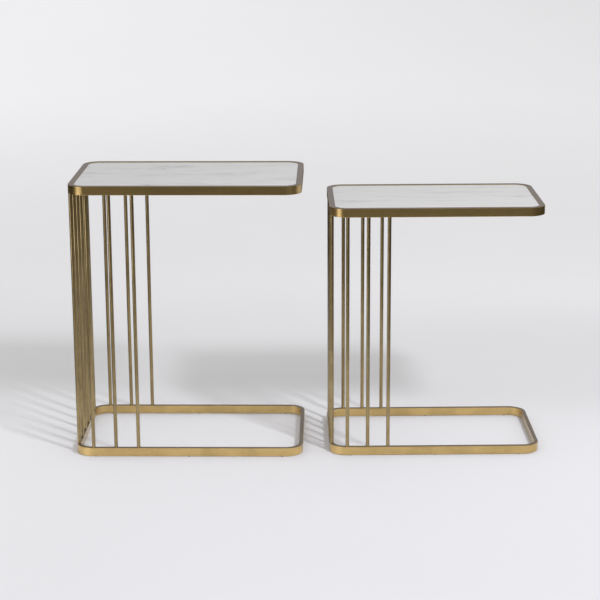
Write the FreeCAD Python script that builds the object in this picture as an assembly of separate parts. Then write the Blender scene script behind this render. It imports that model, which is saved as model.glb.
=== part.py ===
"""A pair of nesting side tables, a large one and a small one, standing side by side.

Each table has a bent flat-bar ring on the floor, twelve round rods that stand on it, and a
bar frame on top that holds a stone slab. The rods close the left end of the table and turn
the two corners beside it, so the right-hand side stays open from the base to the top.

Frame: millimetres, +Z up, +X along the row of two tables, from the large one to the small
one. The origin is on the floor, at the centre of the pair's bounding box.
"""

import FreeCAD, Part
import math
import os

# ---------------------------------------------------------------- driving dimensions

# Outer size of each table; along its long sides, the first rod's distance from the closed end;
# and the distance from rod to rod there and around the end
TABLES = {
    "large": {"width": 506.0, "depth": 315.0, "height": 610.0, "first_rod": 41.0,
              "rod_pitch": 50.0},
    "small": {"width": 468.0, "depth": 285.0, "height": 559.0, "first_rod": 39.0,
              "rod_pitch": 45.0},
}

# How the tables stand: the gap between them before the small one is turned, and how far it is
# turned about its own vertical axis
TABLE_GAP = 56.0
SMALL_TURN_DEG = 1.7

# Bars of the base ring and of the top frame
BAR_HEIGHT = 19.0
BASE_BAR_WIDTH = 9.0
TOP_BAR_WIDTH = 12.0
CORNER_RADIUS = 38.0
BAR_EDGE_RADIUS = 0.7

# Rods, with a tapered tip at each end that stands on the bottom of a tapered blind socket
ROD_DIAMETER = 8.0
RODS_PER_LONG_SIDE = 3
RODS_ON_END = 6
TIP_DIAMETER = 5.0
TIP_LENGTH = 7.5
SOCKET_CLEARANCE = 0.03

# Stone slab, let into the top frame
SLAB_THICKNESS = 14.0
SLAB_RECESS = 1.0
SLAB_SIDE_GAP = 0.8
SLAB_EDGE_RADIUS = 0.8

# Flat ledge inside the top frame, and the cushions between it and the slab
LEDGE_THICKNESS = 2.5
LEDGE_WIDTH = 14.0
CUSHION_DIAMETER = 9.0
CUSHION_INSET = 7.0
CUSHION_FROM_CORNER = 30.0

# Glides under the base ring
GLIDE_DIAMETER = 8.0
GLIDE_THICKNESS = 1.0

# ---------------------------------------------------------------- sizes worked out from them

UP = FreeCAD.Vector(0, 0, 1)
BAR_CENTRE = BASE_BAR_WIDTH / 2          # from a table's outer face to the rods' centre line
BEND_RADIUS = CORNER_RADIUS - BAR_CENTRE  # of that centre line in a corner
BASE_TOP = GLIDE_THICKNESS + BAR_HEIGHT


def frame_bottom(table):
    return table["height"] - BAR_HEIGHT


def slab_top(table):
    return table["height"] - SLAB_RECESS


def slab_bottom(table):
    return slab_top(table) - SLAB_THICKNESS


def ledge_top(table):
    return frame_bottom(table) + LEDGE_THICKNESS


# ---------------------------------------------------------------- outlines and rings


def rounded_outline(width, depth, radius, z):
    """A closed wire: a rectangle about the Z axis with quarter-circle corners."""
    right = width / 2
    back = depth / 2
    edges = []
    for quarter in range(4):
        turn = math.radians(90 * quarter)
        # Half sides that face this quarter's side and the next one
        side = right if quarter % 2 == 0 else back
        next_side = back if quarter % 2 == 0 else right
        frame = FreeCAD.Rotation(UP, math.degrees(turn))

        def point(along, across):
            return frame.multVec(FreeCAD.Vector(along, across, 0)) + UP * z

        start = point(side, radius - next_side)
        end = point(side, next_side - radius)
        corner = point(side - radius, next_side - radius)
        middle = corner + frame.multVec(FreeCAD.Vector(1, 1, 0)) * (radius / math.sqrt(2))
        after = point(side - radius, next_side)
        edges.append(Part.LineSegment(start, end).toShape())
        edges.append(Part.Arc(end, middle, after).toShape())
    return Part.Wire(edges)


def plate(width, depth, radius, z, thickness):
    """A solid slab of the rounded outline, standing on height z."""
    outline = rounded_outline(width, depth, radius, z)
    return Part.Face(outline).extrude(UP * thickness)


def ring(width, depth, radius, bar_width, z, height):
    """A closed rectangular ring of flat bar with rounded corners."""
    outer = plate(width, depth, radius, z, height)
    inner = plate(width - 2 * bar_width, depth - 2 * bar_width, radius - bar_width, z, height)
    return outer.cut(inner)


def level_edges(shape, heights):
    """The edges of a shape that lie flat at one of the given heights."""
    tolerance = 1e-6
    found = []
    for edge in shape.Edges:
        box = edge.BoundBox
        if box.ZLength < tolerance and any(abs(box.ZMin - z) < tolerance for z in heights):
            found.append(edge)
    return found


def soften(shape, radius, heights):
    """Round the level edges at the given heights."""
    return shape.makeFillet(radius, level_edges(shape, heights))


def cylinder(x, y, z, diameter, length):
    return Part.makeCylinder(diameter / 2, length, FreeCAD.Vector(x, y, z), UP)


def taper(x, y, z_wide, z_narrow, clearance):
    """A rod's tapered tip, or with a clearance the socket for it, from its wide end's height."""
    wide = ROD_DIAMETER / 2 + clearance
    narrow = TIP_DIAMETER / 2 + clearance
    if z_narrow < z_wide:
        return Part.makeCone(narrow, wide, z_wide - z_narrow, FreeCAD.Vector(x, y, z_narrow), UP)
    return Part.makeCone(wide, narrow, z_narrow - z_wide, FreeCAD.Vector(x, y, z_wide), UP)


# ---------------------------------------------------------------- where things stand


def end_row_x(table, y):
    """X of the left end bar's centre line at a given y: straight, then round the corner."""
    x = -table["width"] / 2 + BAR_CENTRE
    into_corner = abs(y) - (table["depth"] / 2 - CORNER_RADIUS)
    if into_corner > 0:
        x += BEND_RADIUS - math.sqrt(BEND_RADIUS ** 2 - into_corner ** 2)
    return x


def rod_places(table):
    """Every rod's name and place, in the table's own frame."""
    places = {}
    long_side_y = table["depth"] / 2 - BAR_CENTRE
    for number in range(RODS_PER_LONG_SIDE):
        x = -table["width"] / 2 + table["first_rod"] + number * table["rod_pitch"]
        places[f"front_rod_{number + 1}"] = (x, -long_side_y)
        places[f"back_rod_{number + 1}"] = (x, long_side_y)
    for number in range(RODS_ON_END):
        y = (number - (RODS_ON_END - 1) / 2) * table["rod_pitch"]
        places[f"end_rod_{number + 1}"] = (end_row_x(table, y), y)
    return places


def long_side_places(table, inset, from_corner):
    """Three places along each long side: near both corners and in the middle."""
    y = table["depth"] / 2 - inset
    reach = table["width"] / 2 - from_corner
    return [(x, side * y) for side in (-1, 1) for x in (-reach, 0.0, reach)]


# ---------------------------------------------------------------- the pieces of one table


def base_ring(table):
    """The bar ring on the floor, with a blind socket in its top face for each rod."""
    shape = ring(table["width"], table["depth"], CORNER_RADIUS, BASE_BAR_WIDTH,
                 GLIDE_THICKNESS, BAR_HEIGHT)
    shape = soften(shape, BAR_EDGE_RADIUS, (GLIDE_THICKNESS, BASE_TOP))
    for x, y in rod_places(table).values():
        shape = shape.cut(taper(x, y, BASE_TOP, BASE_TOP - TIP_LENGTH, SOCKET_CLEARANCE))
    return shape


def on_outer_face(edge, table):
    """True for an edge of the outer outline, which reaches further out than the inner one."""
    half_bar = TOP_BAR_WIDTH / 2
    middle_x = table["width"] / 2 - half_bar
    middle_y = table["depth"] / 2 - half_bar
    box = edge.BoundBox
    reach_x = max(abs(box.XMin), abs(box.XMax))
    reach_y = max(abs(box.YMin), abs(box.YMax))
    return reach_x > middle_x or reach_y > middle_y


def top_frame(table):
    """The bar frame round the slab, with a blind socket in its underside for each rod."""
    bottom = frame_bottom(table)
    shape = ring(table["width"], table["depth"], CORNER_RADIUS, TOP_BAR_WIDTH,
                 bottom, BAR_HEIGHT)
    outer_edges = [edge for edge in level_edges(shape, (bottom, table["height"]))
                   if on_outer_face(edge, table)]
    shape = shape.makeFillet(BAR_EDGE_RADIUS, outer_edges)
    for x, y in rod_places(table).values():
        shape = shape.cut(taper(x, y, bottom, bottom + TIP_LENGTH, SOCKET_CLEARANCE))
    return shape


def rod(table, x, y):
    """One upright rod: a round bar from bar to bar, with a tapered tip in each of them."""
    top = frame_bottom(table)
    bar = cylinder(x, y, BASE_TOP, ROD_DIAMETER, top - BASE_TOP)
    lower_tip = taper(x, y, BASE_TOP, BASE_TOP - TIP_LENGTH, 0)
    upper_tip = taper(x, y, top, top + TIP_LENGTH, 0)
    return bar.fuse([lower_tip, upper_tip]).removeSplitter()


def slab_ledge(table):
    """The flat ledge fixed inside the foot of the top frame, under the slab's edge."""
    return ring(table["width"] - 2 * TOP_BAR_WIDTH, table["depth"] - 2 * TOP_BAR_WIDTH,
                CORNER_RADIUS - TOP_BAR_WIDTH, LEDGE_WIDTH, frame_bottom(table), LEDGE_THICKNESS)


def slab_cushions(table):
    """Small round cushions on the ledge that the slab lies on."""
    inset = TOP_BAR_WIDTH + CUSHION_INSET
    from_corner = TOP_BAR_WIDTH + CUSHION_FROM_CORNER
    height = slab_bottom(table) - ledge_top(table)
    cushions = [cylinder(x, y, ledge_top(table), CUSHION_DIAMETER, height)
                for x, y in long_side_places(table, inset, from_corner)]
    return Part.makeCompound(cushions)


def marble_slab(table):
    """The stone slab, a little smaller than the frame's opening and a little below its rim."""
    margin = TOP_BAR_WIDTH + SLAB_SIDE_GAP
    shape = plate(table["width"] - 2 * margin, table["depth"] - 2 * margin,
                  CORNER_RADIUS - margin, slab_bottom(table), SLAB_THICKNESS)
    return soften(shape, SLAB_EDGE_RADIUS, (slab_top(table),))


def floor_glides(table):
    """Thin round glides under the long sides of the base ring."""
    glides = [cylinder(x, y, 0, GLIDE_DIAMETER, GLIDE_THICKNESS)
              for x, y in long_side_places(table, BAR_CENTRE, CORNER_RADIUS + GLIDE_DIAMETER)]
    return Part.makeCompound(glides)


def table_pieces(table):
    """Every piece of one table by name, in the table's own frame."""
    pieces = {
        "base_ring": base_ring(table),
        "top_frame": top_frame(table),
        "slab_ledge": slab_ledge(table),
        "slab_cushions": slab_cushions(table),
        "marble_slab": marble_slab(table),
        "floor_glides": floor_glides(table),
    }
    for name, (x, y) in rod_places(table).items():
        pieces[name] = rod(table, x, y)
    return pieces


# ---------------------------------------------------------------- the pair


def half_length(table, turn_deg):
    """Half of a turned table's extent along X: its corner arcs' centres plus their radius."""
    turn = math.radians(turn_deg)
    to_arc_x = table["width"] / 2 - CORNER_RADIUS
    to_arc_y = table["depth"] / 2 - CORNER_RADIUS
    return to_arc_x * math.cos(turn) + to_arc_y * math.sin(turn) + CORNER_RADIUS


def standing_places():
    """Each table's centre along X and its turn, with the pair centred on the origin."""
    large = TABLES["large"]
    small = TABLES["small"]
    between_centres = large["width"] / 2 + TABLE_GAP + small["width"] / 2
    left = -half_length(large, 0)
    right = between_centres + half_length(small, SMALL_TURN_DEG)
    middle = (left + right) / 2
    return {"large": (-middle, 0.0), "small": (between_centres - middle, SMALL_TURN_DEG)}


def main():
    os.makedirs("parts", exist_ok=True)
    for size, (centre_x, turn_deg) in standing_places().items():
        place = FreeCAD.Placement(FreeCAD.Vector(centre_x, 0, 0), FreeCAD.Rotation(UP, turn_deg))
        for name, shape in table_pieces(TABLES[size]).items():
            shape = shape.copy()
            shape.transformShape(place.toMatrix())
            shape.exportStep(f"parts/{size}_{name}.step")
            solids = shape.Solids
            volume = sum(solid.Volume for solid in solids)
            print(f"{size}_{name}: {len(solids)} solid(s), {volume:.0f} mm3, valid {shape.isValid()}")
        print(f"{size} table: centre x {centre_x:.3f} mm, turned {turn_deg} deg")


main()
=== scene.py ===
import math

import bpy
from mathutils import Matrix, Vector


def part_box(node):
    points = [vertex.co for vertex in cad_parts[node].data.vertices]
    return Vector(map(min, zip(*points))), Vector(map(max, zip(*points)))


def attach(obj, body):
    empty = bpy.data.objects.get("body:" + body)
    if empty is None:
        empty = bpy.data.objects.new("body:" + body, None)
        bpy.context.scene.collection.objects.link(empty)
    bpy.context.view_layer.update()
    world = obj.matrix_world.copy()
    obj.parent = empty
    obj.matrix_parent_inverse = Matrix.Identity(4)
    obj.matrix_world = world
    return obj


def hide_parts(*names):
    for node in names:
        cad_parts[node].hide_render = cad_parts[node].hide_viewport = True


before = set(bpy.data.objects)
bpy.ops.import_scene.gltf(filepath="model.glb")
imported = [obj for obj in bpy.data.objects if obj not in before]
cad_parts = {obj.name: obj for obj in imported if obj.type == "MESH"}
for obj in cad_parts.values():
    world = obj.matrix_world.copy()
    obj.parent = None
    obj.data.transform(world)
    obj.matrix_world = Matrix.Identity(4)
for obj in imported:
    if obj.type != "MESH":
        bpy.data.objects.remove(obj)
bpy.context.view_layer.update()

# A pair of nesting side tables in brushed antique brass with let-in marble slabs, on a pale
# studio floor. Everything is in metres in the CAD frame's own axes: +Z up, +X along the row of
# two tables, the camera in front of them on the -Y side.

# ---------------------------------------------------------------- sizes

# Outer size of each table; along its long sides, the first rod's distance from the closed end;
# and the distance from rod to rod there and along the end
TABLES = {
    "large": {"width": 0.506, "depth": 0.315, "first_rod": 0.041, "rod_pitch": 0.050},
    "small": {"width": 0.468, "depth": 0.285, "first_rod": 0.039, "rod_pitch": 0.045},
}
CORNER_RADIUS = 0.038
BASE_BAR_WIDTH = 0.009
TOP_BAR_WIDTH = 0.012
BAR_EDGE_RADIUS = 0.0007
INNER_EDGE_RADIUS = 0.0004
ROD_RADIUS = 0.004
RODS_ON_SIDE = 3
RODS_ON_END = 6
BRAZE_FILLET = 0.0004
BRAZE_SUNK = 0.0003
SLAB_SIDE_GAP = 0.0004
SLAB_TOP_EDGE = 0.0009
SLAB_FOOT_EDGE = 0.0005
LEDGE_WIDTH = 0.014
LEDGE_EDGE_RADIUS = 0.0004
CUSHION_RADIUS = 0.0045
CUSHION_FOOT_EDGE = 0.0002
CUSHION_TOP_EDGE = 0.001
CUSHION_INSET = 0.007
CUSHION_FROM_CORNER = 0.030
GLIDE_RADIUS = 0.004
GLIDE_FOOT_EDGE = 0.0006
GLIDE_TOP_EDGE = 0.0001

# How finely curves are cut
CORNER_STEPS = 24
FILLET_STEPS = 4
ROUND_STEPS = 40

GRAIN_MAP = "grain"      # UV map in metres: U along the brushing, V across it
EDGE_LAYER = "edge"      # up to 1 on rounded edges and braze fillets, where brass is rubbed bright
FLAT_FACE_WEIGHT = 100   # how far flat faces win over rounded edges when normals are smoothed


# ---------------------------------------------------------------- where things are


def middle(node):
    lo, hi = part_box(node)
    return (lo + hi) / 2


def heights(node):
    """A node's foot and top."""
    return tuple(corner.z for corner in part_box(node))


def table_place(size):
    """A table's place on the floor, from its base ring's centre and its row of front rods."""
    centre = middle(f"{size}_base_ring")
    row = middle(f"{size}_front_rod_{RODS_ON_SIDE}") - middle(f"{size}_front_rod_1")
    turn = math.atan2(row.y, row.x)
    return Matrix.Translation((centre.x, centre.y, 0)) @ Matrix.Rotation(turn, 4, "Z")


def end_row_x(table, y):
    """X of the closed end's rods: straight along the end, then round the corner."""
    bar_centre = BASE_BAR_WIDTH / 2
    bend = CORNER_RADIUS - bar_centre
    x = -table["width"] / 2 + bar_centre
    into_corner = abs(y) - (table["depth"] / 2 - CORNER_RADIUS)
    if into_corner > 0:
        x += bend - math.sqrt(bend ** 2 - into_corner ** 2)
    return x


def rod_places(table):
    """Every rod's name and place, in the table's own frame."""
    places = {}
    side_y = table["depth"] / 2 - BASE_BAR_WIDTH / 2
    for number in range(RODS_ON_SIDE):
        x = -table["width"] / 2 + table["first_rod"] + number * table["rod_pitch"]
        places[f"front_rod_{number + 1}"] = (x, -side_y)
        places[f"back_rod_{number + 1}"] = (x, side_y)
    for number in range(RODS_ON_END):
        y = (number - (RODS_ON_END - 1) / 2) * table["rod_pitch"]
        places[f"end_rod_{number + 1}"] = (end_row_x(table, y), y)
    return places


def long_side_places(table, inset, from_corner):
    """Three places along each long side: near both corners and in the middle."""
    y = table["depth"] / 2 - inset
    reach = table["width"] / 2 - from_corner
    return [(x, side * y) for side in (-1, 1) for x in (-reach, 0.0, reach)]


# ---------------------------------------------------------------- meshes


def new_object(name, vertices, faces, place, face_maps=None, edge_values=None):
    """A mesh object, its vertices moved to the place. face_maps holds each face's (u, v) pairs
    in metres, and edge_values each vertex's value on the edge layer."""
    mesh = bpy.data.meshes.new(name)
    mesh.from_pydata([place @ Vector(v) for v in vertices], [], faces)
    if face_maps:
        layer = mesh.uv_layers.new(name=GRAIN_MAP)
        for polygon, corners in zip(mesh.polygons, face_maps):
            for loop, uv in zip(polygon.loop_indices, corners):
                layer.data[loop].uv = uv
    attribute = mesh.attributes.new(EDGE_LAYER, "FLOAT", "POINT")
    attribute.data.foreach_set("value", edge_values or [0.0] * len(vertices))
    mesh.shade_smooth()
    mesh.update()
    obj = bpy.data.objects.new(name, mesh)
    bpy.context.scene.collection.objects.link(obj)
    weighted = obj.modifiers.new("weighted_normals", "WEIGHTED_NORMAL")
    weighted.weight = FLAT_FACE_WEIGHT
    return obj


def quarter_turn(steps):
    """Angles from 0 to 90 degrees, both included."""
    return [math.radians(90 * step / steps) for step in range(steps + 1)]


def rounded_outline(width, depth, radius):
    """Stations round a rectangle with quarter-circle corners, each an arc centre, a direction
    out of it and the run so far; and the length of the whole round."""
    stations = []
    run = 0.0
    previous = None
    for quarter, (sign_x, sign_y) in enumerate(((1, 1), (-1, 1), (-1, -1), (1, -1))):
        centre = Vector((sign_x * (width / 2 - radius), sign_y * (depth / 2 - radius), 0))
        for angle in quarter_turn(CORNER_STEPS):
            angle += math.radians(90 * quarter)
            out = Vector((math.cos(angle), math.sin(angle), 0))
            point = centre + out * radius
            if previous is not None:
                run += (point - previous).length
            stations.append((centre, out, run))
            previous = point
    first = stations[0][0] + stations[0][1] * radius
    return stations, run + (first - previous).length


def bar_section(width, foot, top, radii):
    """A bar's cross-section as (inset, z, edge) points, running inward from its outer foot. The
    radii are those of the outer foot, inner foot, inner top and outer top edge."""
    corners = (
        (0.0, foot, 1, 1, 0),
        (width, foot, -1, 1, 270),
        (width, top, -1, -1, 180),
        (0.0, top, 1, -1, 90),
    )
    points = []
    for (inset, z, in_sign, z_sign, start), radius in zip(corners, radii):
        for step in range(FILLET_STEPS + 1):
            angle = math.radians(start - 90 * step / FILLET_STEPS)
            points.append((inset + (in_sign - math.cos(angle)) * radius,
                           z + (z_sign + math.sin(angle)) * radius,
                           math.sin(math.pi * step / FILLET_STEPS)))
    return points


def swept_bar(name, outline, width, foot, top, radii, place):
    """A closed ring of flat bar bent round an outline of (width, depth, corner radius)."""
    stations, total = rounded_outline(*outline)
    bend = outline[2]
    section = bar_section(width, foot, top, radii)
    count = len(section)
    across = [0.0]
    for a, b in zip(section, section[1:] + section[:1]):
        across.append(across[-1] + math.hypot(b[0] - a[0], b[1] - a[1]))
    vertices, edges = [], []
    for centre, out, _ in stations:
        for inset, z, edge in section:
            vertices.append(centre + out * (bend - inset) + Vector((0, 0, z)))
            edges.append(edge)
    faces, maps = [], []
    for i in range(len(stations)):
        j = (i + 1) % len(stations)
        run_i = stations[i][2]
        run_j = stations[j][2] if j else total
        for k in range(count):
            m = (k + 1) % count
            faces.append((i * count + k, i * count + m, j * count + m, j * count + k))
            maps.append(((run_i, across[k]), (run_i, across[k + 1]),
                         (run_j, across[k + 1]), (run_j, across[k])))
    return new_object(name, vertices, faces, place, maps, edges)


def turned(name, profile, spots, place, grain_round=False):
    """Solids turned about vertical axes at the given spots. The profile runs from the foot to
    the top as (radius, z, edge) points, and starts and ends on the axis."""
    vertices, faces, maps, edges = [], [], [], []
    steps = ROUND_STEPS
    rings = profile[1:-1]
    around = 2 * math.pi * max(radius for radius, _, _ in rings)
    lengths = [0.0]
    for a, b in zip(rings, rings[1:]):
        lengths.append(lengths[-1] + math.hypot(b[0] - a[0], b[1] - a[1]))
    for spot_x, spot_y in spots:
        start = len(vertices)
        for radius, z, edge in rings:
            for step in range(steps):
                angle = 2 * math.pi * step / steps
                vertices.append((spot_x + radius * math.cos(angle),
                                 spot_y + radius * math.sin(angle), z))
                edges.append(edge)
        for level in range(len(rings) - 1):
            for step in range(steps):
                after = (step + 1) % steps
                a = start + level * steps
                b = a + steps
                faces.append((a + step, a + after, b + after, b + step))
                u0, u1 = around * step / steps, around * (step + 1) / steps
                z0, z1 = lengths[level], lengths[level + 1]
                if grain_round:
                    maps.append(((u0, z0), (u1, z0), (u1, z1), (u0, z1)))
                else:
                    maps.append(((z0, u0), (z0, u1), (z1, u1), (z1, u0)))
        last = start + (len(rings) - 1) * steps
        faces.append(tuple(range(start + steps - 1, start - 1, -1)))
        faces.append(tuple(range(last, last + steps)))
        maps += [((0.0, 0.0),) * steps] * 2
    return new_object(name, vertices, faces, place, maps, edges)


def slab(name, width, depth, radius, foot, top, place):
    """A rounded plate with an eased top edge and a smaller one at its foot."""
    stations, _ = rounded_outline(width, depth, radius)
    levels = []
    for angle in quarter_turn(FILLET_STEPS):
        levels.append((SLAB_FOOT_EDGE * (1 - math.sin(angle)),
                       foot + SLAB_FOOT_EDGE * (1 - math.cos(angle))))
    for angle in quarter_turn(FILLET_STEPS):
        levels.append((SLAB_TOP_EDGE * (1 - math.cos(angle)),
                       top - SLAB_TOP_EDGE * (1 - math.sin(angle))))
    count = len(stations)
    vertices = [centre + out * (radius - inset) + Vector((0, 0, z))
                for inset, z in levels for centre, out, _ in stations]
    faces = []
    for level in range(len(levels) - 1):
        for i in range(count):
            j = (i + 1) % count
            a, b = level * count, (level + 1) * count
            faces.append((a + i, a + j, b + j, b + i))
    faces.append(tuple(range(count - 1, -1, -1)))
    last = (len(levels) - 1) * count
    faces.append(tuple(range(last, last + count)))
    return new_object(name, vertices, faces, place)


def rod_profile(foot, top):
    """A rod with a small braze fillet where it meets each bar, and its ends sunk in the bars."""
    collar = ROD_RADIUS + BRAZE_FILLET
    curve = []
    for step in range(1, FILLET_STEPS + 1):
        angle = math.radians(90 * step / FILLET_STEPS)
        curve.append((ROD_RADIUS + BRAZE_FILLET * (1 - math.sin(angle)),
                      BRAZE_FILLET * (1 - math.cos(angle)), 1 - step / FILLET_STEPS))
    profile = [(0, foot - BRAZE_SUNK, 0), (collar, foot - BRAZE_SUNK, 1), (collar, foot, 1)]
    profile += [(radius, foot + rise, edge) for radius, rise, edge in curve]
    profile += [(radius, top - rise, edge) for radius, rise, edge in reversed(curve)]
    profile += [(collar, top, 1), (collar, top + BRAZE_SUNK, 1), (0, top + BRAZE_SUNK, 0)]
    return profile


def disc_profile(radius, foot, top, foot_edge, top_edge):
    """A disc with rounded edges, of which the radii are given."""
    profile = [(0, foot, 0)]
    for angle in quarter_turn(FILLET_STEPS):
        profile.append((radius - foot_edge * (1 - math.sin(angle)),
                        foot + foot_edge * (1 - math.cos(angle)), 0))
    for angle in quarter_turn(FILLET_STEPS):
        profile.append((radius - top_edge * (1 - math.cos(angle)),
                        top - top_edge * (1 - math.sin(angle)), 0))
    return profile + [(0, top, 0)]


# ---------------------------------------------------------------- node trees

# The colour sockets of the Mix node, by number, since its other kinds share their names
MIX_FACTOR, MIX_A, MIX_B, MIX_RESULT = 0, 6, 7, 2


def rgb(red, green, blue):
    return (red, green, blue, 1.0)


class Nodes:
    """A node tree, with short ways to add and link its nodes. Where a value is given, it's a
    constant or a (node, output) pair, which stands for what that node works out."""

    def __init__(self, tree):
        self.tree = tree
        self.tree.nodes.clear()

    def add(self, kind, settings=None, **inputs):
        node = self.tree.nodes.new(kind)
        for key, value in (settings or {}).items():
            setattr(node, key, value)
        for key, value in inputs.items():
            self.put(node, key.replace("_", " "), value)
        return node

    def put(self, node, socket, value):
        if isinstance(value, tuple) and hasattr(value[0], "outputs"):
            source, output = value
            self.tree.links.new(source.outputs[output], node.inputs[socket])
        else:
            node.inputs[socket].default_value = value

    def split(self, vector):
        """A vector's X, Y and Z."""
        node = self.add("ShaderNodeSeparateXYZ", Vector=vector)
        return (node, "X"), (node, "Y"), (node, "Z")

    def remap(self, value, given, wanted=(0.0, 1.0), smooth=True):
        """A number moved from a given range to a wanted one, and held at its ends."""
        node = self.add("ShaderNodeMapRange",
                        {"interpolation_type": "SMOOTHSTEP" if smooth else "LINEAR"},
                        Value=value, From_Min=given[0], From_Max=given[1],
                        To_Min=wanted[0], To_Max=wanted[1])
        return node, "Result"

    def math(self, operation, a, b=0.0):
        node = self.add("ShaderNodeMath", {"operation": operation})
        self.put(node, 0, a)
        self.put(node, 1, b)
        return node, "Value"

    def times(self, a, b):
        return self.math("MULTIPLY", a, b)

    def vector(self, operation, output, a, b=None, **inputs):
        """A sum with vectors; its kind decides which output holds the result."""
        node = self.add("ShaderNodeVectorMath", {"operation": operation}, **inputs)
        self.put(node, 0, a)
        if b is not None:
            self.put(node, 1, b)
        return node, output

    def mix(self, factor, a, b, blend="MIX"):
        node = self.add("ShaderNodeMix", {"data_type": "RGBA", "blend_type": blend})
        for socket, value in ((MIX_FACTOR, factor), (MIX_A, a), (MIX_B, b)):
            self.put(node, socket, value)
        return node, MIX_RESULT

    def mix_shader(self, factor, a, b):
        node = self.add("ShaderNodeMixShader")
        for socket, value in enumerate((factor, a, b)):
            self.put(node, socket, value)
        return node, "Shader"


class Material(Nodes):
    """A material's node tree, from a principled shader to the output."""

    def __init__(self, name):
        self.material = bpy.data.materials.new(name)
        self.material.use_nodes = True
        super().__init__(self.material.node_tree)
        self.output = self.add("ShaderNodeOutputMaterial")
        self.shader = self.add("ShaderNodeBsdfPrincipled")
        self.put(self.output, "Surface", (self.shader, "BSDF"))

    def surface(self, **inputs):
        for key, value in inputs.items():
            self.put(self.shader, key.replace("_", " "), value)

    def place(self):
        return self.add("ShaderNodeTexCoord"), "Object"

    def stretch(self, vector, scale):
        return self.add("ShaderNodeMapping", Vector=vector, Scale=scale), "Vector"

    def noise(self, vector, scale=1.0, detail=2.0, roughness=0.5, distortion=0.0):
        node = self.add("ShaderNodeTexNoise", Scale=scale, Detail=detail,
                        Roughness=roughness, Distortion=distortion, Vector=vector)
        return node, "Fac"

    def bump(self, height, strength, distance):
        node = self.add("ShaderNodeBump", Height=height, Strength=strength, Distance=distance)
        return node, "Normal"


# ---------------------------------------------------------------- materials

# Noise per metre along the brushing and across it
LONG_STREAKS = (14.0, 900.0, 1.0)
FINE_STREAKS = (70.0, 5200.0, 1.0)
# Highlights stretch across the brushing, a quarter turn from the grain map's U
GRAIN_TURN = 0.25

# Painted shade: the greyed colour given to faces that look up and, less, to the ends
PAINTED_SHADE_BRASS = rgb(0.212, 0.172, 0.144)


def brass(name, bright, dark, anisotropy, roughness):
    """Brushed, lacquered antique brass: streaks along the grain, cloudy patina, rubbed edges, and
    painted shade: a matte, greyed colour on faces that look up, less on the ends."""
    m = Material(name)
    grain = (m.add("ShaderNodeUVMap", {"uv_map": GRAIN_MAP}), "UV")
    place = m.place()
    edge = (m.add("ShaderNodeAttribute", {"attribute_name": EDGE_LAYER}), "Fac")
    tangent = m.add("ShaderNodeTangent", {"direction_type": "UV_MAP", "uv_map": GRAIN_MAP})
    along, _, up = m.split((m.add("ShaderNodeNewGeometry"), "Normal"))

    long_streaks = m.noise(m.stretch(grain, LONG_STREAKS), detail=3.0, roughness=0.6)
    fine_streaks = m.noise(m.stretch(grain, FINE_STREAKS), detail=4.0, roughness=0.7)
    clouds = m.noise(place, 11.0, 5.0, 0.62, 0.4)
    specks = m.noise(place, 420.0, 3.0, 0.7)

    colour = m.mix(m.remap(clouds, (0.36, 0.66), (0.0, 0.75)), bright, dark)
    shade = m.remap(long_streaks, (0.3, 0.7), (0.84, 1.08), smooth=False)
    grey = (m.add("ShaderNodeCombineColor", Red=shade, Green=shade, Blue=shade), "Color")
    colour = m.mix(1.0, colour, grey, "MULTIPLY")

    # Painted shade: faces that look up, and less so the end faces, are greyed and made less
    # metallic
    upward = m.remap(up, (0.55, 0.95))
    endward = m.remap(m.math("ABSOLUTE", along), (0.88, 0.99), (0.0, 0.5))
    painted_shade = m.times(m.math("MAXIMUM", upward, endward),
                     m.remap(clouds, (0.3, 0.7), (0.95, 0.8)))
    colour = m.mix(painted_shade, colour, PAINTED_SHADE_BRASS)
    rubbed = m.times(edge, m.remap(specks, (0.35, 0.62), (0.1, 0.5)))
    colour = m.mix(rubbed, colour, bright)

    rough = m.remap(fine_streaks, (0.3, 0.7), (roughness - 0.05, roughness + 0.07), smooth=False)
    rough = m.math("ADD", rough, m.remap(clouds, (0.35, 0.7), (-0.02, 0.05)))
    height = m.math("ADD", m.times(fine_streaks, 0.7), m.times(long_streaks, 0.3))
    m.surface(Base_Color=colour, Roughness=rough,
              Metallic=m.math("SUBTRACT", 1.0, m.times(painted_shade, 0.5)),
              Anisotropic=anisotropy, Anisotropic_Rotation=GRAIN_TURN,
              Tangent=(tangent, "Tangent"),
              Normal=m.bump(height, strength=0.16, distance=0.00006),
              Coat_Weight=0.5, Coat_Roughness=0.2, Coat_IOR=1.5)
    return m.material


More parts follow.
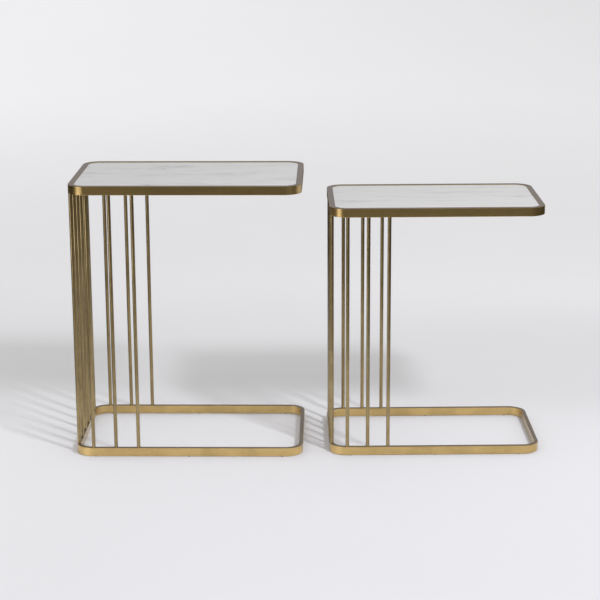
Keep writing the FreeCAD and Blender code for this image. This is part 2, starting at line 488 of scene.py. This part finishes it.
def marble():
    """Honed white marble: cloudy pale greys and a few soft, broken veins."""
    white = rgb(0.735, 0.732, 0.722)
    cloud = rgb(0.67, 0.668, 0.662)
    smudge = rgb(0.5, 0.505, 0.5)
    vein_grey = rgb(0.40, 0.405, 0.40)
    crystal = rgb(0.8, 0.8, 0.79)

    m = Material("white_marble")
    place = m.place()
    drift, _ = m.noise(place, 3.2, 3.0, 0.55)
    warp = m.vector("SCALE", "Vector", (drift, "Color"), Scale=0.15)
    bent = m.vector("ADD", "Vector", place, warp)
    clouds = m.noise(m.stretch(bent, (7.0, 13.0, 10.0)), detail=6.0, roughness=0.6)
    smudges = m.noise(m.stretch(bent, (8.0, 30.0, 20.0)), detail=4.0, roughness=0.55)
    vein_field = m.noise(m.stretch(bent, (2.6, 7.0, 4.0)), detail=4.0, roughness=0.5)
    from_vein = m.math("ABSOLUTE", m.math("SUBTRACT", vein_field, 0.5))
    veins = m.remap(from_vein, (0.0, 0.028), (1.0, 0.0))
    broken = m.remap(smudges, (0.42, 0.6), (0.05, 1.0))
    grain = m.noise(place, 900.0, 3.0, 0.7)

    colour = m.mix(m.remap(clouds, (0.35, 0.68), (0.0, 0.6)), white, cloud)
    colour = m.mix(m.remap(smudges, (0.5, 0.72), (0.0, 0.36)), colour, smudge)
    colour = m.mix(m.times(m.times(veins, broken), 0.4), colour, vein_grey)
    colour = m.mix(m.remap(grain, (0.3, 0.7), (0.0, 0.06)), colour, crystal)
    m.surface(Base_Color=colour, Roughness=m.remap(clouds, (0.3, 0.7), (0.30, 0.40)), IOR=1.49,
              Normal=m.bump(grain, strength=0.05, distance=0.0001))
    return m.material


def ledge_paint():
    """Dark bronze sprayed paint with a fine orange-peel surface."""
    m = Material("ledge_paint")
    place = m.place()
    clouds = m.noise(place, 30.0, 4.0, 0.6)
    peel = m.noise(place, 1100.0)
    colour = m.mix(m.remap(clouds, (0.3, 0.7)), rgb(0.045, 0.036, 0.026),
                   rgb(0.07, 0.057, 0.042))
    m.surface(Base_Color=colour, Metallic=0.35,
              Roughness=m.remap(clouds, (0.3, 0.7), (0.42, 0.55)),
              Normal=m.bump(peel, strength=0.2, distance=0.0002))
    return m.material


def soft_pad(name, darker, lighter, roughness):
    """Rubber or moulded plastic, faintly mottled and grained."""
    m = Material(name)
    place = m.place()
    mottle = m.noise(place, 160.0, 4.0, 0.6)
    grain = m.noise(place, 2400.0, 2.0, 0.6)
    m.surface(Base_Color=m.mix(m.remap(mottle, (0.3, 0.7)), darker, lighter),
              Roughness=m.remap(mottle, (0.3, 0.7), (roughness - 0.06, roughness)),
              Normal=m.bump(grain, strength=0.25, distance=0.0001))
    return m.material


materials = {
    "bar": brass("brushed_brass_bar", bright=rgb(0.85, 0.605, 0.245),
                 dark=rgb(0.67, 0.475, 0.185), anisotropy=0.5, roughness=0.36),
    "rod": brass("brushed_brass_rod", bright=rgb(0.50, 0.38, 0.18),
                 dark=rgb(0.34, 0.255, 0.12), anisotropy=0.1, roughness=0.34),
    "marble": marble(),
    "ledge": ledge_paint(),
    "rubber": soft_pad("cushion_rubber", darker=rgb(0.50, 0.50, 0.48),
                       lighter=rgb(0.62, 0.62, 0.60), roughness=0.8),
    "plastic": soft_pad("glide_plastic", darker=rgb(0.021, 0.020, 0.018),
                        lighter=rgb(0.035, 0.033, 0.030), roughness=0.6),
}


# ---------------------------------------------------------------- the pieces of one table


def set_material(obj, material):
    obj.data.materials.clear()
    obj.data.materials.append(material)


def finish_piece(obj, material, body, node):
    set_material(obj, materials[material])
    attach(obj, body)
    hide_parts(node)


def build_bars(size, table, place):
    """The ring on the floor and the frame round the slab."""
    outline = (table["width"], table["depth"], CORNER_RADIUS)
    edge, inner = BAR_EDGE_RADIUS, INNER_EDGE_RADIUS
    base = swept_bar(f"{size}_base_bar", outline, BASE_BAR_WIDTH, *heights(f"{size}_base_ring"),
                     (edge, edge, edge, edge), place)
    finish_piece(base, "bar", f"{size}_table", f"{size}_base_ring")
    top = swept_bar(f"{size}_top_bar", outline, TOP_BAR_WIDTH, *heights(f"{size}_top_frame"),
                    (edge, inner, inner, edge), place)
    finish_piece(top, "bar", f"{size}_table", f"{size}_top_frame")


def build_rods(size, table, place):
    _, foot = heights(f"{size}_base_ring")
    top, _ = heights(f"{size}_top_frame")
    for name, spot in rod_places(table).items():
        rod = turned(f"{size}_{name}_drawn", rod_profile(foot, top), [spot], place,
                     grain_round=True)
        finish_piece(rod, "rod", f"{size}_table", f"{size}_{name}")


def build_stone(size, table, place):
    margin = TOP_BAR_WIDTH + SLAB_SIDE_GAP
    stone = slab(f"{size}_stone", table["width"] - 2 * margin, table["depth"] - 2 * margin,
                 CORNER_RADIUS - margin, *heights(f"{size}_marble_slab"), place)
    finish_piece(stone, "marble", f"{size}_slab", f"{size}_marble_slab")


def build_ledge(size, table, place):
    """The ledge inside the top frame's foot, under the slab."""
    outline = (table["width"] - 2 * TOP_BAR_WIDTH, table["depth"] - 2 * TOP_BAR_WIDTH,
               CORNER_RADIUS - TOP_BAR_WIDTH)
    ledge = swept_bar(f"{size}_ledge_strip", outline, LEDGE_WIDTH,
                      *heights(f"{size}_slab_ledge"), (LEDGE_EDGE_RADIUS,) * 4, place)
    finish_piece(ledge, "ledge", f"{size}_table", f"{size}_slab_ledge")


def build_cushions(size, table, place):
    """Six cushions on the ledge, under the slab."""
    profile = disc_profile(CUSHION_RADIUS, *heights(f"{size}_slab_cushions"),
                           CUSHION_FOOT_EDGE, CUSHION_TOP_EDGE)
    spots = long_side_places(table, TOP_BAR_WIDTH + CUSHION_INSET,
                             TOP_BAR_WIDTH + CUSHION_FROM_CORNER)
    cushions = turned(f"{size}_cushion_pads", profile, spots, place)
    finish_piece(cushions, "rubber", f"{size}_table", f"{size}_slab_cushions")


def build_glides(size, table, place):
    """Six glides under the base ring."""
    profile = disc_profile(GLIDE_RADIUS, *heights(f"{size}_floor_glides"),
                           GLIDE_FOOT_EDGE, GLIDE_TOP_EDGE)
    spots = long_side_places(table, BASE_BAR_WIDTH / 2, CORNER_RADIUS + 2 * GLIDE_RADIUS)
    glides = turned(f"{size}_glide_pads", profile, spots, place)
    finish_piece(glides, "plastic", f"{size}_table", f"{size}_floor_glides")


for size, table in TABLES.items():
    place = table_place(size)
    for build in (build_bars, build_rods, build_stone, build_ledge, build_cushions, build_glides):
        build(size, table, place)


# ---------------------------------------------------------------- floor, light and camera

FLOOR_RADII = (1.0, 4.0, 40.0)
FLOOR_STEPS = 96

# The stretch of pale floor that metal mirrors, and how softly it ends; round it, metal mirrors a
# dark studio
PALE_FRONT, PALE_BACK, PALE_SIDE = -0.95, 1.6, 0.78
PALE_FADE = 0.25

KEY_PLACE = (1.42, -1.78, 2.42)
KEY_TARGET = (-0.1, 0.1, 0.2)
KEY_SIZE = (0.30, 0.50)
KEY_POWER = 48.0
KEY_COLOUR = (0.94, 0.95, 1.0)

CARD_PLACE = (-1.50, -1.33, 0.25)
CARD_TARGET = (-0.25, -0.15, 0.55)
CARD_SIZE = (0.95, 0.42)
CARD_POWER = 4.0
CARD_COLOUR = (1.0, 0.96, 0.88)

CAMERA_PLACE = (0.0589, -3.8516, 1.3155)
CAMERA_YAW = math.radians(1.144)
CAMERA_DOWN = math.radians(14.502)
CAMERA_ROLL = math.radians(-0.273)
CAMERA_LENS_MM = 105.5
CAMERA_SENSOR_MM = 36.0
CAMERA_REACH = 200.0


def pale_floor():
    """A seamless floor, painted greyer towards the key light so that it looks evenly lit, with
    painted shade in a greyer band behind the tables, and a painted glow far behind, more so on
    the left, and faintly under the tables."""
    near_key = rgb(0.66, 0.66, 0.685)
    away = rgb(0.93, 0.93, 0.957)
    band_shade_grey = rgb(0.52, 0.525, 0.535)
    mottle_grey = rgb(0.55, 0.55, 0.56)
    light = rgb(0.94, 0.95, 1.0)
    dark_studio = rgb(0.033, 0.030, 0.027)

    m = Material("studio_floor")
    place = m.place()
    x, y, _ = m.split(place)
    mottle = m.noise(place, 1.4, 4.0, 0.6)
    grain = m.noise(place, 600.0, 2.0, 0.6)
    from_key = m.vector("DISTANCE", "Value", place, (KEY_PLACE[0], KEY_PLACE[1], 0.0))
    from_middle = m.vector("LENGTH", "Value", place)

    colour = m.mix(m.remap(from_key, (0.9, 3.1), smooth=False), near_key, away)
    # Painted shade: a greyer band on the floor just behind the tables
    band = m.times(m.remap(y, (-0.1, 0.4), (0.0, 0.22)), m.remap(y, (0.7, 1.5), (1.0, 0.0)))
    colour = m.mix(band, colour, band_shade_grey)
    colour = m.mix(m.remap(mottle, (0.3, 0.7), (0.0, 0.03)), colour, mottle_grey)
    # Painted light: the floor glows far behind, more so on the left, and faintly under and just in
    # front of the tables
    far_glow = m.times(m.remap(from_middle, (0.5, 6.2)),
                   m.remap(x, (-2.2, 2.4), (0.25, 0.135), smooth=False))
    glow_under_tables = m.times(m.remap(y, (0.05, 0.3), (0.032, 0.0)), m.remap(y, (-0.9, -0.2)))
    m.surface(Base_Color=colour, Roughness=0.8, Specular_IOR_Level=0.2,
              Normal=m.bump(grain, strength=0.04, distance=0.0002), Emission_Color=light,
              Emission_Strength=m.math("ADD", far_glow, glow_under_tables))

    dark = m.add("ShaderNodeBsdfDiffuse", Color=dark_studio)
    front = m.remap(y, (PALE_FRONT - PALE_FADE, PALE_FRONT + PALE_FADE))
    back = m.remap(y, (PALE_BACK - PALE_FADE, PALE_BACK + PALE_FADE), (1.0, 0.0))
    sides = m.remap(m.math("ABSOLUTE", x), (PALE_SIDE - PALE_FADE, PALE_SIDE + PALE_FADE),
                    (1.0, 0.0))
    pale = m.times(sides, m.times(front, back))
    ray = m.add("ShaderNodeLightPath")
    hidden = m.times(m.math("SUBTRACT", 1.0, pale), (ray, "Is Glossy Ray"))
    m.put(m.output, "Surface", m.mix_shader(hidden, (m.shader, "BSDF"), (dark, "BSDF")))
    return m.material


def build_floor():
    """A disc made of rings, so that it has more corners near the tables."""
    vertices = [(0, 0, 0)]
    for radius in FLOOR_RADII:
        for step in range(FLOOR_STEPS):
            angle = 2 * math.pi * step / FLOOR_STEPS
            vertices.append((radius * math.cos(angle), radius * math.sin(angle), 0))
    faces = [(0, 1 + step, 1 + (step + 1) % FLOOR_STEPS) for step in range(FLOOR_STEPS)]
    for ring in range(len(FLOOR_RADII) - 1):
        a = 1 + ring * FLOOR_STEPS
        b = a + FLOOR_STEPS
        for step in range(FLOOR_STEPS):
            after = (step + 1) % FLOOR_STEPS
            faces.append((a + step, b + step, b + after, a + after))
    mesh = bpy.data.meshes.new("studio_floor")
    mesh.from_pydata(vertices, [], faces)
    mesh.update()
    floor = bpy.data.objects.new("studio_floor", mesh)
    bpy.context.scene.collection.objects.link(floor)
    set_material(floor, pale_floor())


def build_world():
    """Even, pale studio light. Polished metal sees a dark room, with a low pale wall behind the
    tables, a pale ceiling overhead and faint glows on the right."""
    fill_light = rgb(1.0, 0.987, 0.968)
    backdrop = rgb(0.80, 0.805, 0.83)
    dim = rgb(0.04, 0.037, 0.034)
    pale_wall = rgb(0.355, 0.352, 0.38)
    ceiling = rgb(0.6, 0.59, 0.58)
    front_glow = rgb(0.22, 0.215, 0.21)
    side_glow = rgb(0.30, 0.295, 0.29)

    world = bpy.data.worlds.new("studio")
    bpy.context.scene.world = world
    world.use_nodes = True
    w = Nodes(world.node_tree)
    output = w.add("ShaderNodeOutputWorld")
    direction = (w.add("ShaderNodeTexCoord"), "Generated")
    _, y, z = w.split(direction)

    def glow(turn_deg, half_width_deg):
        """1 low down in one compass direction, falling to 0 at the half width and overhead."""
        turn = math.radians(turn_deg)
        facing = w.vector("DOT_PRODUCT", "Value", direction, (math.cos(turn), math.sin(turn), 0))
        return w.times(w.remap(facing, (math.cos(math.radians(half_width_deg)), 1.0)),
                       w.remap(z, (0.75, 0.35)))

    wall = w.mix(w.remap(z, (0.28, 0.5)), pale_wall, dim)
    room = w.mix(w.remap(y, (0.3, 0.75)), dim, wall)
    room = w.mix(w.remap(z, (0.82, 0.96)), room, ceiling)
    room = w.mix(glow(305, 34), room, front_glow)
    room = w.mix(glow(350, 30), room, side_glow)

    fill = w.add("ShaderNodeBackground", Color=fill_light, Strength=0.71)
    seen = w.add("ShaderNodeBackground", Color=backdrop, Strength=1.0)
    mirrored = w.add("ShaderNodeBackground", Color=room, Strength=1.0)
    ray = w.add("ShaderNodeLightPath")
    unseen = w.mix_shader((ray, "Is Glossy Ray"), (fill, "Background"), (mirrored, "Background"))
    w.put(output, "Surface", w.mix_shader((ray, "Is Camera Ray"), unseen, (seen, "Background")))


def area_light(name, location, target, size, power, colour):
    data = bpy.data.lights.new(name, "AREA")
    data.shape = "RECTANGLE"
    data.size, data.size_y = size
    data.energy = power
    data.color = colour
    light = bpy.data.objects.new(name, data)
    light.location = location
    aim = Vector(target) - Vector(location)
    light.rotation_euler = aim.to_track_quat("-Z", "Y").to_euler()
    light.visible_camera = False
    bpy.context.scene.collection.objects.link(light)
    return light


def build_lights():
    """A small key light that casts the shadows, and a card on the left that only metal sees."""
    key = area_light("key", KEY_PLACE, KEY_TARGET, KEY_SIZE, KEY_POWER, KEY_COLOUR)
    key.visible_glossy = False
    card = area_light("side_card", CARD_PLACE, CARD_TARGET, CARD_SIZE, CARD_POWER, CARD_COLOUR)
    card.visible_diffuse = False


def build_camera():
    """At the front, a little above the tables and looking down on them."""
    data = bpy.data.cameras.new("camera")
    data.sensor_width = CAMERA_SENSOR_MM
    data.lens = CAMERA_LENS_MM
    data.clip_end = CAMERA_REACH
    camera = bpy.data.objects.new("camera", data)
    # Unturned, a camera looks straight down; a quarter turn about X levels it
    level = math.radians(90)
    camera.matrix_world = (Matrix.Translation(CAMERA_PLACE)
                           @ Matrix.Rotation(CAMERA_YAW, 4, "Z")
                           @ Matrix.Rotation(level - CAMERA_DOWN, 4, "X")
                           @ Matrix.Rotation(CAMERA_ROLL, 4, "Z"))
    bpy.context.scene.collection.objects.link(camera)
    bpy.context.scene.camera = camera


build_floor()
build_world()
build_lights()
build_camera()
bpy.context.scene.view_settings.view_transform = "Standard"
